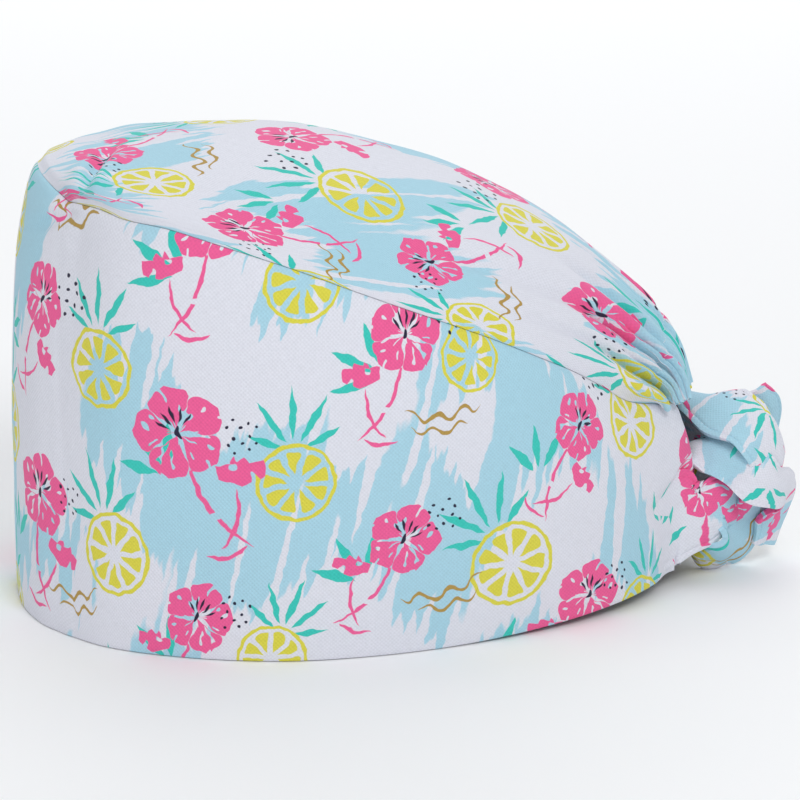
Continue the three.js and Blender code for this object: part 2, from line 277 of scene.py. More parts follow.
@dataclass
class CapShape:
    """The cap's driving sizes, and the surfaces that its panels follow. All in millimetres."""

    rim_length: float = 198.0
    rim_width: float = 144.5
    front_height: float = 132.0
    rear_height: float = 60.0
    crown_puff: float = 29.0
    band_belly: float = 5.4
    centre_along: float = 20.161  # the origin, ahead of the middle of the rim
    front_corner: float = 1.0
    pucker: float = 1.035  # station where the front corner is drawn together
    band_end: float = 2.2
    belly_fade: Pair = (1.6, 2.2)  # stations where the band's swell dies away
    belly_lost: float = 0.8  # share of the swell that is gone there

    @property
    def half_width(self) -> float:
        """Returns half the rim's width."""
        return self.rim_width / 2

    @property
    def front(self) -> float:
        """Returns how far along the front of the rim lies."""
        return -self.rim_length / 2

    def placed(self, point: Vector) -> Vector:
        """Returns a point of the charts in the row frame, in metres."""
        return Vector((point.x, point.y - self.centre_along, point.z)) * MM

    def rim(self, at: float) -> Vector:
        """Returns a point of the rim's outer edge."""
        return Vector(
            (
                self.half_width * RIM_CHART.read("out", at),
                self.front + self.rim_length * RIM_CHART.read("along", at),
                self.rear_height * max(RIM_CHART.read("up", at), 0.0),
            )
        )

    def seam(self, at: float) -> Vector:
        """Returns a point of the crown seam, or of the band's free rear edge."""
        rise = SEAM_CHART.read("up", at)
        return Vector(
            (
                self.half_width * SEAM_CHART.read("out", at),
                self.front + self.rim_length * SEAM_CHART.read("along", at),
                lerp(self.rear_height, self.front_height, rise),
            )
        )

    def crown(self, across: float, at: float) -> Vector:
        """Finds a point of the crown without its folds.

        Args:
            across: from -1 at the right seam to 1 at the left one.
            at: the station, from 1 at the front to 2 at the gathered hem.

        Returns:
            The point.
        """
        seam = self.seam(at)
        angle = across * math.pi / 2
        arch = max(math.cos(angle), 0.0) ** CROWN_CHART.read("round", at)
        ridge = self.front + self.rim_length * CROWN_CHART.read("along", at)
        rise = self.crown_puff * CROWN_CHART.read("puff", at)
        return Vector((seam.x * math.sin(angle), lerp(seam.y, ridge, arch), seam.z + rise * arch))

    def band(self, station: float, up: float) -> Vector:
        """Finds a point of the band without its folds.

        Args:
            station: from -2.2 at the right end, over 0 at the forehead, to 2.2 at the left end.
            up: from 0 at the rim to 1 at the crown seam.

        Returns:
            The point.
        """
        side = -1 if station < 0 else 1
        at = abs(station)
        rim = self.rim(at)
        top = self.crown(at, self.front_corner) if at < self.front_corner else self.seam(at)
        outward = Vector((rim.x / self.half_width, 2 * rim.y / self.rim_length, 0)).normalized()
        belly = math.sqrt(max(math.sin(math.pi * up**2), 0.0))
        belly *= 1 - self.belly_lost * smooth(at, *self.belly_fade)
        point = rim.lerp(top, up) + outward * self.band_belly * belly
        point.x *= side
        return point


@dataclass
class ClothPiece:
    """One piece of cloth, made from a flat grid that is laid over its surface."""

    shape: CapShape
    name: str
    node: str
    slot: str
    held: Held
    columns: int  # of the grid, across the cloth or round it
    rows: int
    wall: float  # thickness in millimetres
    edge_round: float  # radius of the folded edges
    flat: Pair  # width and length of the cut, in metres
    area: float  # flat area of the cut, in square metres
    wall_offset: float = -1.0  # -1 puts the wall inside the grid, 0 on both sides of it

    def place(self, s: float, t: float) -> Vector:
        """Returns the point for the grid's place, s from -1 to 1 and t from 0 to 1."""
        raise NotImplementedError

    def cut(self, s: float, t: float) -> Pair:
        """Returns the same place on the flat cloth, in millimetres."""
        raise NotImplementedError

    def facing(self, s: float, t: float) -> Vector:
        """Returns the rough direction that the cloth's right side looks."""
        raise NotImplementedError

    def build(self, outside: Material, inside: Material) -> bpy.types.Object:
        """Builds the piece.

        Args:
            outside: the finish of the right side and the edges.
            inside: the finish of the wrong side.

        Returns:
            The finished object.
        """
        bm = bmesh.new()
        uv = bm.loops.layers.uv.new("fabric")
        bmesh.ops.create_grid(bm, x_segments=self.columns, y_segments=self.rows, size=1.0, calc_uvs=True)
        for face in bm.faces:
            face.smooth = True
            for loop in face.loops:
                s, t = loop[uv].uv
                u, v = self.cut(2 * s - 1, t)
                loop[uv].uv = (u / UV_UNIT, v / UV_UNIT)
        for vert in bm.verts:
            vert.co = self.shape.placed(self.place(vert.co.x, (vert.co.y + 1) / 2))
        bm.normal_update()
        if self._votes(bm) < 0:
            bmesh.ops.reverse_faces(bm, faces=bm.faces)
        piece = finished(self.name, bm, outside, inside)
        self._thicken(piece)
        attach(piece, "root")
        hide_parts(self.node)
        return piece

    def _votes(self, bm: bmesh.types.BMesh) -> float:
        """Returns a positive number where most faces look the way the right side should."""
        bm.faces.ensure_lookup_table()
        total = 0.0
        for row in range(2, self.rows - 2, 3):
            for column in range(2, self.columns - 2, 7):
                face = bm.faces[row * self.columns + column]
                way = self.facing(2 * (column + 0.5) / self.columns - 1, (row + 0.5) / self.rows)
                total += face.normal.dot(way)
        return total

    def _thicken(self, piece: bpy.types.Object) -> None:
        """Gives the sheet its wall and its soft edges."""
        wall = piece.modifiers.new("wall", "SOLIDIFY")
        wall.thickness = self.wall * MM
        wall.offset = self.wall_offset
        wall.material_offset = 1
        wall.material_offset_rim = 0
        edge = piece.modifiers.new("edge", "BEVEL")
        edge.width = self.edge_round * MM
        edge.segments = 2
        edge.limit_method = "ANGLE"
        edge.angle_limit = math.radians(55)

    def declare(
        self, piece: bpy.types.Object, rests_on: Sequence[str], trim: Sequence[bpy.types.Object]
    ) -> None:
        """Takes no step: nothing about the piece's cut is recorded.

        Args:
            piece: the finished object; not used.
            rests_on: the names of what holds it; not used.
            trim: the separate pieces on it; not used.
        """


@dataclass
class BandPanel(ClothPiece):
    """The tall strip round the forehead, the sides and the back of the head."""

    name: str = "band_cloth"
    node: str = "band"
    slot: str = "band_cloth"
    held: Held = Held.STRETCHED
    columns: int = 330
    rows: int = 66
    wall: float = 1.8
    edge_round: float = 0.8
    flat: Pair = (0.558, 0.133)
    area: float = 0.0549
    ripple: float = 0.35  # how far the cloth wanders from a smooth curve
    ripple_sizes: Pair = (34.0, 15.0)
    crease: float = 1.7  # depth of the crease under the crown's front corner
    crease_slope: float = 0.42
    # across that crease
    crease_ridges: Ridges = ((1.0, 1.6, 2.2), (-0.6, -2.6, 2.4), (-0.45, 6.5, 4.0))
    side_fold: float = 0.3  # share of the crease's depth in the soft fold ahead of it
    end_bulge: float = 1.8  # how far the band's end puffs out above the tie
    end_pinch: float = 0.9  # depth of the fold below that puff
    row_power: float = 1.25  # the rows stand closer together near the seam
    rim_lift: float = 0.35  # keeps the folded rim's wall on the floor
    end_trim: float = 0.12  # stations cut from the lower corner of each end
    girth_steps: int = 220  # of the table of lengths round the band

    def station(self, s: float, t: float) -> float:
        """Returns the station for a place of the grid, with the lower corner of each end cut away."""
        at = abs(s) * self.shape.band_end
        low = 1 - smooth(self.up(t), 0.05, 0.5)
        return math.copysign(at - self.end_trim * low * smooth(at, 1.98, self.shape.band_end), s)

    def up(self, t: float) -> float:
        """Returns the share of the height for a place up the grid, closer together near the seam."""
        return 1 - (1 - t) ** self.row_power

    def facing(self, s: float, t: float) -> Vector:
        """Returns the level direction away from the middle of the head."""
        point = self.shape.band(self.station(s, t), self.up(t))
        return Vector((point.x / self.shape.half_width, 2 * point.y / self.shape.rim_length, 0))

    def cut(self, s: float, t: float) -> Pair:
        """Returns the place on the flat band: along the rim and up from it."""
        station = self.station(s, t)
        point = self.shape.band(station, self.up(t))
        return self._girth(abs(station)) * (1 if s >= 0 else -1), point.z

    def _girth(self, at: float) -> float:
        """Returns the length round the band from the forehead to a station."""
        if not hasattr(self, "_lengths"):
            lengths, last = [0.0], self.shape.band(0.0, 0.5)
            for i in range(1, self.girth_steps + 1):
                point = self.shape.band(self.shape.band_end * i / self.girth_steps, 0.5)
                lengths.append(lengths[-1] + (point - last).length)
                last = point
            self._lengths = lengths
        place = at / self.shape.band_end * (len(self._lengths) - 1)
        i = min(int(place), len(self._lengths) - 2)
        return lerp(self._lengths[i], self._lengths[i + 1], place - i)

    def place(self, s: float, t: float) -> Vector:
        """Returns the point of the band with its folds."""
        station, up = self.station(s, t), self.up(t)
        point = self.shape.band(station, up)
        way = self.facing(s, t).normalized()
        point += way * self._fold(station, up, point)
        point.z += self.rim_lift * (1 - smooth(up, 0, 0.03))
        return point

    def _fold(self, station: float, up: float, point: Vector) -> float:
        """Returns how far the cloth stands out of, or sinks into, the smooth band."""
        free = smooth(up, 0.0, 0.25) * smooth(1 - up, 0.0, 0.12)
        ripple = self.ripple * wander(point, *self.ripple_sizes) * free
        crease = self.crease * self._corner_crease(station, point) * smooth(1 - up, 0.0, 0.02)
        return ripple - crease + self._end_fold(abs(station), up)

    def _corner_crease(self, station: float, point: Vector) -> float:
        """Returns the depth of the creases that spring from the crown's front corner, from 0 to about 1."""
        corner = self.shape.seam(self.shape.pucker)
        below = corner - Vector((abs(point.x), point.y, point.z))
        ahead = math.copysign(math.hypot(below.x, below.y), self.shape.pucker - abs(station))
        far = below.length
        fade = smooth(far, 1, 6) * (1 - smooth(far, 12, 34)) * smooth(ahead, -4, 4)
        crease = ridges(below.z - self.crease_slope * ahead, self.crease_ridges) * fade
        side = bump(ahead, -4.0 - 0.2 * below.z, 4.0) * smooth(far, 3, 9) * (1 - smooth(far, 20, 48))
        return crease + self.side_fold * side

    def _end_fold(self, at: float, up: float) -> float:
        """Returns the puff of the band's end above the tie, and the fold below that puff."""
        line = lerp(0.42, 0.62, smooth(at, 1.92, 2.16))
        bulge = smooth(at, 1.86, 2.06) * smooth(up, line, line + 0.12) * smooth(1 - up, 0, 0.2)
        pinch = smooth(at, 1.86, 2.0) * bump(up, line - 0.02, 0.06)
        return self.end_bulge * bulge - self.end_pinch * pinch


@dataclass
class CrownPanel(ClothPiece):
    """The gathered top, sewn to the band at its front and sides and drawn up behind."""

    name: str = "crown_cloth"
    node: str = "crown"
    slot: str = "crown_cloth"
    held: Held = Held.GATHERED
    columns: int = 300
    rows: int = 150
    wall: float = 1.3
    edge_round: float = 0.6
    flat: Pair = (0.169, 0.233)
    area: float = 0.0312
    print_width: float = 1.25  # of the UV map, as a share of the rim's width
    seam_gap: float = 0.12
    seam_lift: float = 1.6  # how far the crown rolls up over its seam
    gather_folds: int = 9
    gather_depth: float = 2.5
    gather_shift: float = 0.07  # how far the folds stray across
    crimp_folds: float = 2.3  # fine folds to each gather
    crimp_share: float = 0.75  # of the gathers' depth
    pleat_depth: float = 2.4
    pleat_reach: float = 42.0
    pleat_bearing: float = 0.34  # radians behind straight across
    # across that pleat
    pleat_ridges: Ridges = ((1.0, 0.0, 1.9), (-0.7, 4.2, 3.2), (-0.3, -4.5, 2.6))
    ripple: float = 0.45  # how far the cloth wanders from a smooth curve
    ripple_sizes: Pair = (30.0, 13.0)
    hem_station: float = 1.955  # where the elastic's casing is stitched down
    hem_depth: float = 0.7
    casing_reach: float = 0.96  # how far across the casing's stitching runs
    casing_steps: int = 900
    # start and end station, place across, slope, width and height of each long fold
    drags: tuple[tuple[float, ...], ...] = (
        (1.56, 1.96, 0.6, -0.1, 0.045, -1.65),
        (1.56, 1.96, 0.5, -0.12, 0.06, 1.2),
        (1.66, 1.97, 0.8, -0.25, 0.035, -1.2),
        (1.74, 1.99, 0.34, 0.1, 0.03, -1.35),
    )

    def at(self, t: float) -> float:
        """Returns the station for a place along the grid, closer together at both ends."""
        return lerp(1.0, 2.0, lerp(t, smooth(t, 0, 1), 0.8))

    def casing_line(self) -> list[Pair]:
        """Returns the places of the stitching that holds the elastic's casing down."""
        low, high = 0.5, 1.0
        for _ in range(30):
            middle = (low + high) / 2
            low, high = (middle, high) if self.at(middle) < self.hem_station else (low, middle)
        reach, count = self.casing_reach, self.casing_steps
        return [(lerp(-reach, reach, k / count), low) for k in range(count + 1)]

    def facing(self, s: float, t: float) -> Vector:
        """Returns the direction away from the middle of the head."""
        point = self.shape.crown(s, self.at(t))
        return Vector((point.x, point.y * 0.6, point.z - self.shape.rear_height)).normalized()

    def cut(self, s: float, t: float) -> Pair:
        """Returns the place on the flat crown: across it, and forward from its hem."""
        at = self.at(t)
        point = self.shape.crown(0.0, at)
        return s * self.shape.half_width * self.print_width, -(point.y - self.shape.front)

    def normal(self, across: float, at: float) -> Vector:
        """Returns the outward unit normal of the smooth crown."""
        step = 1e-3
        wide = self.shape.crown(min(across + step, 1), at) - self.shape.crown(max(across - step, -1), at)
        deep = self.shape.crown(across, min(at + step, 2)) - self.shape.crown(across, max(at - step, 1))
        return wide.cross(deep).normalized()

    def place(self, s: float, t: float) -> Vector:
        """Returns the point of the crown with its roll, folds and gathers."""
        at = self.at(t)
        normal = self.normal(s, at)
        level = Vector((normal.x, normal.y, 0)).normalized()
        inside = smooth(at, 1, 1.03) * smooth(1 - abs(s), 0, 0.12)
        normal = level.lerp(normal, inside).normalized()
        point = self.shape.crown(s, at) + normal * self._fold(s, at) * inside
        point.z += self.seam_gap + self.seam_lift * inside * (1 - smooth(at, 1.8, 2))
        return point

    def _fold(self, across: float, at: float) -> float:
        """Returns how far the cloth stands out of, or sinks into, the smooth crown."""
        point = self.shape.crown(across, at)
        hem = self.hem_depth * bump(at, self.hem_station, 0.006)
        folds = self._gathers(across, at) - self._pleat(point) - hem + self._drag(across, at)
        return folds + self.ripple * wander(point, *self.ripple_sizes)

    def _gathers(self, across: float, at: float) -> float:
        """Returns the height of the gathers that the elastic draws up, coarse and fine."""
        drawn = smooth(at, 1.7, 1.97) ** 1.4
        shift = self.gather_shift * noise.noise(Vector((across * 3.1, at * 1.6, 4.7)))
        coarse = ridge((across + shift) * self.gather_folds)
        loose = 0.5 + noise.noise(Vector((across * 7.3, at * 3.1, 1.9)))
        fine = ridge((across + 2.2 * shift) * self.gather_folds * self.crimp_folds)
        near = 0.7 + 0.3 * smooth(abs(across), 0.1, 0.6)
        crimp = smooth(at, 1.8, 1.95) * fine * (0.5 + loose)
        height = (0.6 + loose) * drawn * (coarse - 0.5) + self.crimp_share * crimp
        return self.gather_depth * near * height

    def _pleat(self, point: Vector) -> float:
        """Returns the depth of the pleat that turns the crown's front corner."""
        corner = self.shape.seam(self.shape.pucker)
        inward, back = corner.x - abs(point.x), point.y - corner.y
        reach = (point - corner).length
        aside = back * math.cos(self.pleat_bearing) - inward * math.sin(self.pleat_bearing)
        fade = smooth(reach, 1.5, 7) * (1 - smooth(reach, 12, self.pleat_reach)) * smooth(inward, -6, 3)
        return self.pleat_depth * ridges(aside, self.pleat_ridges) * fade

    def _drag(self, across: float, at: float) -> float:
        """Returns the height of the long soft folds that run back along each side."""
        total = 0.0
        for start, end, middle, slope, width, depth in self.drags:
            fade = smooth(at, start, start + 0.08) * smooth(end - at, 0, 0.1)
            total += depth * bump(abs(across), middle + slope * (at - start), width) * fade
        return total


# Each row of a tie's route through the knot: across to the wearer's left, out behind the head, and up, in
# shares of the knot's size from its centre, then the way that the outer side looks, the width as a share
# of the tie's, and the bow as a share of that width.
LEFT_ROUTE = (
    (0.58, -0.38, -0.16, 0.88, 0.47, 0.05, 0.68, 0.03),
    (0.5, -0.18, -0.05, 0.93, 0.36, 0.1, 0.56, 0.06),
    (0.39, 0.0, -0.05, 0.8, 0.6, 0.05, 0.5, 0.1),
    (0.14, 0.12, 0.0, 0.4, 0.92, 0, 0.34, 0.16),
    (-0.15, 0.18, 0.06, 0.3, 0.95, -0.1, 0.34, 0.16),
    (-0.38, 0.32, 0.24, 0.5, 0.85, -0.2, 0.4, 0.15),
    (-0.44, 0.42, 0.48, 0.9, 0.4, 0, 0.48, 0.08),
    (-0.44, 0.41, 0.72, 0.97, 0.2, 0, 0.48, 0.05),
    (-0.43, 0.32, 0.91, 0.97, 0.1, 0, 0.34, 0.03),
)

RIGHT_ROUTE = (
    (-0.55, -0.36, 0.02, -0.8, 0.6, 0.0, 0.88, 0.03),
    (-0.48, -0.22, 0.42, -0.75, 0.6, 0.25, 0.76, 0.05),
    (-0.34, -0.2, 0.84, -0.45, 0.4, 0.8, 0.7, 0.06),
    (-0.08, -0.18, 0.97, 0.5, 0.0, 0.85, 0.7, 0.08),
    (0.22, -0.02, 0.9, 0.65, 0.15, 0.72, 0.74, 0.1),
    (0.5, 0.2, 0.77, 0.78, 0.4, 0.45, 0.54, 0.12),
    (0.5, 0.38, 0.42, 0.82, 0.55, 0.15, 0.46, 0.14),
    (0.3, 0.31, -0.05, 0.75, 0.65, -0.1, 0.44, 0.14),
    (0.24, 0.17, -0.36, 0.85, 0.4, -0.25, 0.5, 0.1),
    (0.3, 0.05, -0.59, 0.75, 0.35, -0.5, 0.74, 0.08),
    (0.36, -0.1, -0.71, 0.6, 0.1, -0.78, 0.6, 0.06),
    (0.26, -0.36, -0.74, 0.6, -0.45, -0.6, 0.42, 0.08),
    (0.02, -0.46, -0.54, -0.1, -0.98, -0.2, 0.4, 0.1),
    (-0.04, -0.48, -0.22, -0.2, -0.98, 0.0, 0.34, 0.12),
    (0.0, -0.48, 0.12, -0.3, -0.95, 0.1, 0.36, 0.12),
    (0.1, -0.49, 0.4, -0.3, -0.85, 0.4, 0.36, 0.1),
    (0.3, -0.45, 0.53, 0.3, -0.35, 0.88, 0.36, 0.06),
    (0.44, -0.25, 0.52, 0.85, -0.1, 0.5, 0.46, 0.05),
    (0.55, 0.03, 0.42, 0.97, 0.0, 0.22, 0.5, 0.05),
    (0.62, 0.23, 0.25, 0.95, 0.25, 0.1, 0.52, 0.06),
    (0.5, 0.46, 0.1, 0.8, 0.6, 0.05, 0.4, 0.08),
    (0.28, 0.61, 0.03, 0.5, 0.85, 0.0, 0.38, 0.1),
    (0.12, 0.65, -0.14, 0.45, 0.85, -0.2, 0.44, 0.1),
    (0.04, 0.54, -0.42, 0.6, 0.7, -0.4, 0.62, 0.1),
    (0.04, 0.43, -0.7, 0.65, 0.6, -0.5, 0.44, 0.08),
)


@dataclass
class StrapRow:
    """One row of a tie's route: a place, the way its outer side looks, a half width and a bow."""

    place: Vector
    face: Vector
    half: float
    bow: float


@dataclass
class TieStrap(ClothPiece):
    """A flat cloth tie that follows its route through the knot."""

    name: str = "tie_left_cloth"
    node: str = "tie_left"
    slot: str = "tie_cloth"
    held: Held = Held.FOLDED
    columns: int = 48
    rows: int = 150
    wall: float = 1.8
    edge_round: float = 0.6
    flat: Pair = (0.031, 0.086)
    area: float = 0.0017
    wall_offset: float = 0.0
    side: Side = Side.LEFT
    route: Sequence[Sequence[float]] = LEFT_ROUTE
    root: Pair = (0.03, 0.53)  # where it is sewn on, in shares of the rear height
    tie_width: float = 31.0
    # station, and height over the band's outside, of each row where the tie grows out of the band
    root_rows: tuple[Pair, ...] = (
        (1.9, -1.5),
        (1.98, -1.1),
        (2.05, -0.75),
        (2.11, -0.1),
    )
    tuck: float = 2.0  # how far the tie's upper edge goes under the band's fold at its root
    hem_at: float = 0.84  # share of the half width where the hem is stitched
    hem_depth: float = 0.35
    cut_origin: Pair = (0.0, 0.0)  # of the print, in millimetres on the flat cloth
    knot_behind: float = 19.6
    knot_height: float = 26.0
    knot_size: float = 28.0
    pinch: float = 1.3  # depth of the long folds where the tie is drawn together
    fold_turns: float = 1.3  # half waves of those folds from the middle to an edge
    fold_twist: float = 24.0  # millimetres along the tie in which they shift by a radian
    gaps: int = 1  # between the rows of the route, counted by prepare
    sections: list = field(default_factory=list)  # filled by prepare

    def rows_of_route(self) -> list[StrapRow]:
        """Returns the rows where the tie is sewn to the band, and then those through the knot."""
        root = [self._root_row(at, lift) for at, lift in self.root_rows]
        return root + [self._knot_row(row) for row in self.route]

    def _root_row(self, at: float, lift: float) -> StrapRow:
        """Returns the row over the band's end at a station."""
        shape, (low, high) = self.shape, self.root
        share = shape.rear_height / (shape.seam(at).z - shape.rim(at).z)
        station, middle, step = self.side.value * at, share * (low + high) / 2, 1e-3
        wide = shape.band(station + step, middle) - shape.band(station - step, middle)
        tall = shape.band(station, middle + step) - shape.band(station, middle - step)
        face = wide.cross(tall).normalized()
        edges = (shape.band(station, share * high) - shape.band(station, share * low)).length
        return StrapRow(shape.band(station, middle) + face * lift, face, edges / 2, 0.0)

    def _knot_row(self, row: Sequence[float]) -> StrapRow:
        """Returns a row of the route table in millimetres."""
        across, out, up, face_x, face_y, face_z, width, bow = row
        knot = Vector((0, self.shape.front + self.shape.rim_length + self.knot_behind, self.knot_height))
        place = Vector((across, out, up)) * self.knot_size + knot
        face = Vector((face_x, face_y, face_z)).normalized()
        return StrapRow(place, face, width * self.tie_width / 2, bow * width * self.tie_width)

    @staticmethod
    def _curve(points: Sequence[Vector], i: int, w: float) -> Vector:
        """Returns the point at the share w between points i and i + 1 of a smooth path."""
        last = len(points) - 1
        p1, p2 = points[i], points[i + 1]
        p0 = points[i - 1] if i > 0 else p1 * 2 - p2
        p3 = points[i + 2] if i + 2 <= last else p2 * 2 - p1
        d0, d1, d2 = (math.sqrt((b - a).length) for a, b in ((p0, p1), (p1, p2), (p2, p3)))
        m1 = ((p1 - p0) / d0 - (p2 - p0) / (d0 + d1) + (p2 - p1) / d1) * d1
        m2 = ((p2 - p1) / d1 - (p3 - p1) / (d1 + d2) + (p3 - p2) / d2) * d1
        cubic = p1 * 2 - p2 * 2 + m1 + m2
        square = p2 * 3 - p1 * 3 - m1 * 2 - m2
        return ((cubic * w + square) * w + m1) * w + p1

    def prepare(self) -> None:
        """Works out the strap's sections, one for each row of its grid."""
        rows = self.rows_of_route()
        points = [row.place for row in rows]
        self.gaps = len(rows) - 1
        run, last, step = 0.0, points[0], 1e-3
        for k in range(self.rows + 1):
            way = k / self.rows * self.gaps
            i = min(int(way), self.gaps - 1)
            w = way - i
            a, b, f = rows[i], rows[i + 1], smooth(w, 0, 1)
            place = self._curve(points, i, w)
            before, after = (self._curve(points, i, x) for x in (max(w - step, 0), min(w + step, 1)))
            tangent = (after - before).normalized()
            face = a.face.lerp(b.face, f)
            face = (face - tangent * face.dot(tangent)).normalized()
            run += (place - last).length
            last = place
            wide = tangent.cross(face).normalized()
            self.sections.append((place, face, wide, lerp(a.half, b.half, f), lerp(a.bow, b.bow, f), run))

    def _section(self, t: float) -> tuple:
        """Returns the section of a row of the grid."""
        return self.sections[min(round(t * self.rows), self.rows)]

    def hem_lines(self) -> list[list[Pair]]:
        """Returns the places of the stitching along both edges, past the sewn-on end."""
        first = int(self.rows * len(self.root_rows) / self.gaps)
        rows = range(first, self.rows - 1)
        return [[(side * self.hem_at, k / self.rows) for k in rows] for side in (-1, 1)]

    def facing(self, s: float, t: float) -> Vector:
        """Returns the way that the strap's outer side looks."""
        return self._section(t)[1]

    def cut(self, s: float, t: float) -> Pair:
        """Returns the place on the flat tie."""
        _, _, _, half, _, run = self._section(t)
        up = -1 if self.sections[0][2].z < 0 else 1
        u, v = self.cut_origin
        return u + run, v + up * s * lerp(self.tie_width / 2, half, 0.5)

    def place(self, s: float, t: float) -> Vector:
        """Returns the point of the strap with its long folds."""
        place, face, wide, half, bow, run = self._section(t)
        tight = smooth(1 - 2 * half / self.tie_width, 0.3, 0.6)
        phase = run / self.fold_twist + 1.3 * self.side.value
        folds = math.cos(s * self.fold_turns * math.pi + phase) * (1 - abs(s) ** 4)
        hem = self.hem_depth * bump(abs(s), self.hem_at, 0.035)
        lift = -bow * s * s + self.pinch * tight * 0.5 * folds - hem
        upper = s if self.sections[0][2].z > 0 else -s
        sewn = 1 - smooth(t * self.gaps, 0, len(self.root_rows) + 0.5)
        lift -= self.tuck * smooth(upper, 0.35, 1.0) * sewn
        return place + wide * half * s + face * lift


@dataclass
class StitchRow:
    """A row of stitches along a line on a finished piece of cloth."""

    name: str
    cloth: ClothPiece
    lines: Sequence[Sequence[Pair]]  # each line's places on the cloth's grid
    pitch: float = 2.7  # millimetres from stitch to stitch
    length: float = 1.8
    thread: float = 0.34  # thickness
    sink: float = 0.08  # how deep the thread's middle lies in the cloth

    def build(self, thread: Material) -> bpy.types.Object:
        """Builds the row.

        Args:
            thread: the thread's finish.

        Returns:
            The stitches as one object.
        """
        bm = bmesh.new()
        for line in self.lines:
            self._sew(bm, line)
        for face in bm.faces:
            face.smooth = True
        piece = finished(self.name, bm, thread)
        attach(piece, "root")
        return piece

    def _sew(self, bm: bmesh.types.BMesh, line: Sequence[Pair]) -> None:
        """Adds the stitches of one line."""
        points = [self.cloth.place(s, t) for s, t in line]
        rise = self.cloth.wall * (1 + self.cloth.wall_offset) / 2 - self.sink
        size = Matrix.Diagonal((self.length / 2 * MM, self.thread / 2 * MM, self.thread / 2 * MM, 1.0))
        walked, due = 0.0, self.pitch
        for (s, t), a, b in zip(line, points, points[1:]):
            walked += (b - a).length
            if walked < due:
                continue
            due += self.pitch
            along = (b - a).normalized()
            out = self._outward(s, t, along)
            turn = Matrix((along, out.cross(along), out)).transposed().to_4x4()
            middle = Matrix.Translation(self.cloth.shape.placed(b + out * rise))
            bmesh.ops.create_uvsphere(bm, u_segments=6, v_segments=5, radius=1.0, matrix=middle @ turn @ size)

    def _outward(self, s: float, t: float, along: Vector) -> Vector:
        """Returns the cloth's outward direction, square to the line."""
        step = 0.01
        wide = self.cloth.place(min(s + step, 1), t) - self.cloth.place(max(s - step, -1), t)
        deep = self.cloth.place(s, min(t + step, 1)) - self.cloth.place(s, max(t - step, 0))
        out = wide.cross(deep).normalized()
        if out.dot(self.cloth.facing(s, t)) < 0:
            out.negate()
        return (out - along * out.dot(along)).normalized()


